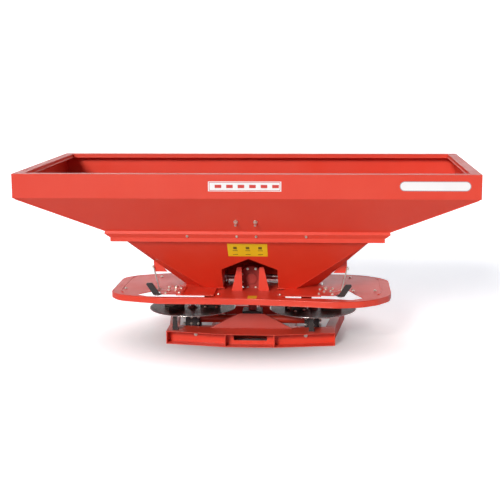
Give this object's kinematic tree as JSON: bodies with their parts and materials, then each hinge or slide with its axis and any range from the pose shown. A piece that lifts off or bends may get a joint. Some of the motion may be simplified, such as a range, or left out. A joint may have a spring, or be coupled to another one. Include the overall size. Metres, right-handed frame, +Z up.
{
  "type": "spreader",
  "caption": "Tractor-mounted twin-disc fertiliser spreader with a wide sheet-metal hopper, split funnel, metering shutters, disc guard and hitch frame.",
  "frame": {"origin": "on the ground below the middle of the hopper rim", "axes": "+X the machine's right side seen from behind, +Y forward to the tractor, +Z up"},
  "size_m": [2.7, 1.39, 1.126],
  "materials": {
    "red_paint": "glossy powder coat with light wear on edges",
    "black_paint": "satin black",
    "gearbox_cast": "dark painted casting",
    "zinc_steel": "bright zinc plate",
    "bearing_steel": "machined",
    "shaft_steel": "machined and oiled",
    "disc_steel": "dark polished steel with a worn bright rim",
    "vane_steel": "stainless",
    "shutter_steel": "stainless",
    "guard_plastic": "matte black"
  },
  "bodies": {
    "frame": {"agitator_bearings": "bearing_steel", "agitator_column": "red_paint", "agitator_gearbox": "red_paint", "agitator_gearbox_cover": "red_paint", "base_dividers": "red_paint", "base_front_beam": "red_paint", "base_longitudinals": "red_paint", "base_rear_channel": "red_paint", "base_side_rails": "red_paint", "collar": "red_paint", "collar_lugs": "red_paint", "cross_shaft_tubes": "red_paint", "deck_brackets": "black_paint", "floor_plates": "red_paint", "frame_fasteners": "zinc_steel", "funnel_front_panel": "red_paint", "funnel_left_side": "red_paint", "funnel_rear_panel": "red_paint", "funnel_right_side": "red_paint", "funnel_saddle": "red_paint", "gearbox_beam": "red_paint", "gearbox_bearings": "bearing_steel", "gearbox_shield": "red_paint", "guard_plate": "red_paint", "guard_stays": "zinc_steel", "guard_supports": "red_paint", "headstock_beam": "red_paint", "headstock_posts": "red_paint", "hopper_neck": "red_paint", "input_shaft_tube": "red_paint", "lower_hitch_pins": "zinc_steel", "lower_hitch_plates": "red_paint", "main_gearbox_housing": "gearbox_cast", "metering_quadrants": "red_paint", "pto_guard": "guard_plastic", "shutter_pivots": "zinc_steel", "side_gearbox_housings": "gearbox_cast", "sieve_catch_studs": "zinc_steel", "stay_brackets": "red_paint", "tunnel_gussets": "red_paint", "upper_front_wall": "red_paint", "upper_hitch_ears": "red_paint", "upper_left_end": "red_paint", "upper_rear_wall": "red_paint", "upper_right_end": "red_paint"},
    "cross_shaft_body": {"cross_shaft": "shaft_steel"},
    "input_shaft_body": {"input_shaft": "shaft_steel"},
    "agitator_drive_body": {"agitator_drive_shaft": "shaft_steel"},
    "agitator_body": {"agitator_shaft": "shaft_steel"},
    "left_disc": {"disc_drive_left": "shaft_steel", "spreading_disc_left": "disc_steel", "disc_vanes_left": "vane_steel"},
    "right_disc": {"disc_drive_right": "shaft_steel", "spreading_disc_right": "disc_steel", "disc_vanes_right": "vane_steel"},
    "left_shutter": {"shutter_left": "shutter_steel", "shutter_grip_left": "black_paint"},
    "right_shutter": {"shutter_right": "shutter_steel", "shutter_grip_right": "black_paint"}
  },
  "joints": [
    {"name": "left_disc_spin", "type": "hinge", "parent": "frame", "child": "left_disc", "pos_m": [-0.39, 0.005, 0.184], "axis": [0, 0, 1], "continuous": true},
    {"name": "right_disc_spin", "type": "hinge", "parent": "frame", "child": "right_disc", "pos_m": [0.39, 0.005, 0.184], "axis": [0, 0, 1], "continuous": true},
    {"name": "cross_shaft_spin", "type": "hinge", "parent": "frame", "child": "cross_shaft_body", "pos_m": [0, 0.005, 0.115], "axis": [1, 0, 0], "continuous": true},
    {"name": "pto_input_spin", "type": "hinge", "parent": "frame", "child": "input_shaft_body", "pos_m": [0, 0.005, 0.115], "axis": [0, 1, 0], "continuous": true},
    {"name": "agitator_drive_spin", "type": "hinge", "parent": "frame", "child": "agitator_drive_body", "pos_m": [0, 0.005, 0.115], "axis": [0, 0, 1], "continuous": true},
    {"name": "agitator_spin", "type": "hinge", "parent": "frame", "child": "agitator_body", "pos_m": [0, 0.005, 0.395], "axis": [1, 0, 0], "continuous": true},
    {"name": "left_shutter_swing", "type": "hinge", "parent": "frame", "child": "left_shutter", "pos_m": [-0.47, -0.175, 0.343], "axis": [0, 0, -1], "range_deg": [0, 26]},
    {"name": "right_shutter_swing", "type": "hinge", "parent": "frame", "child": "right_shutter", "pos_m": [0.47, -0.175, 0.343], "axis": [0, 0, 1], "range_deg": [0, 26]}
  ],
  "couplings": [
    {"joint": "right_disc_spin", "follows": "left_disc_spin", "ratio": -1},
    {"joint": "cross_shaft_spin", "follows": "left_disc_spin", "ratio": -0.5},
    {"joint": "pto_input_spin", "follows": "left_disc_spin", "ratio": 0.75},
    {"joint": "agitator_drive_spin", "follows": "left_disc_spin", "ratio": 0.75},
    {"joint": "agitator_spin", "follows": "left_disc_spin", "ratio": 0.375}
  ]
}
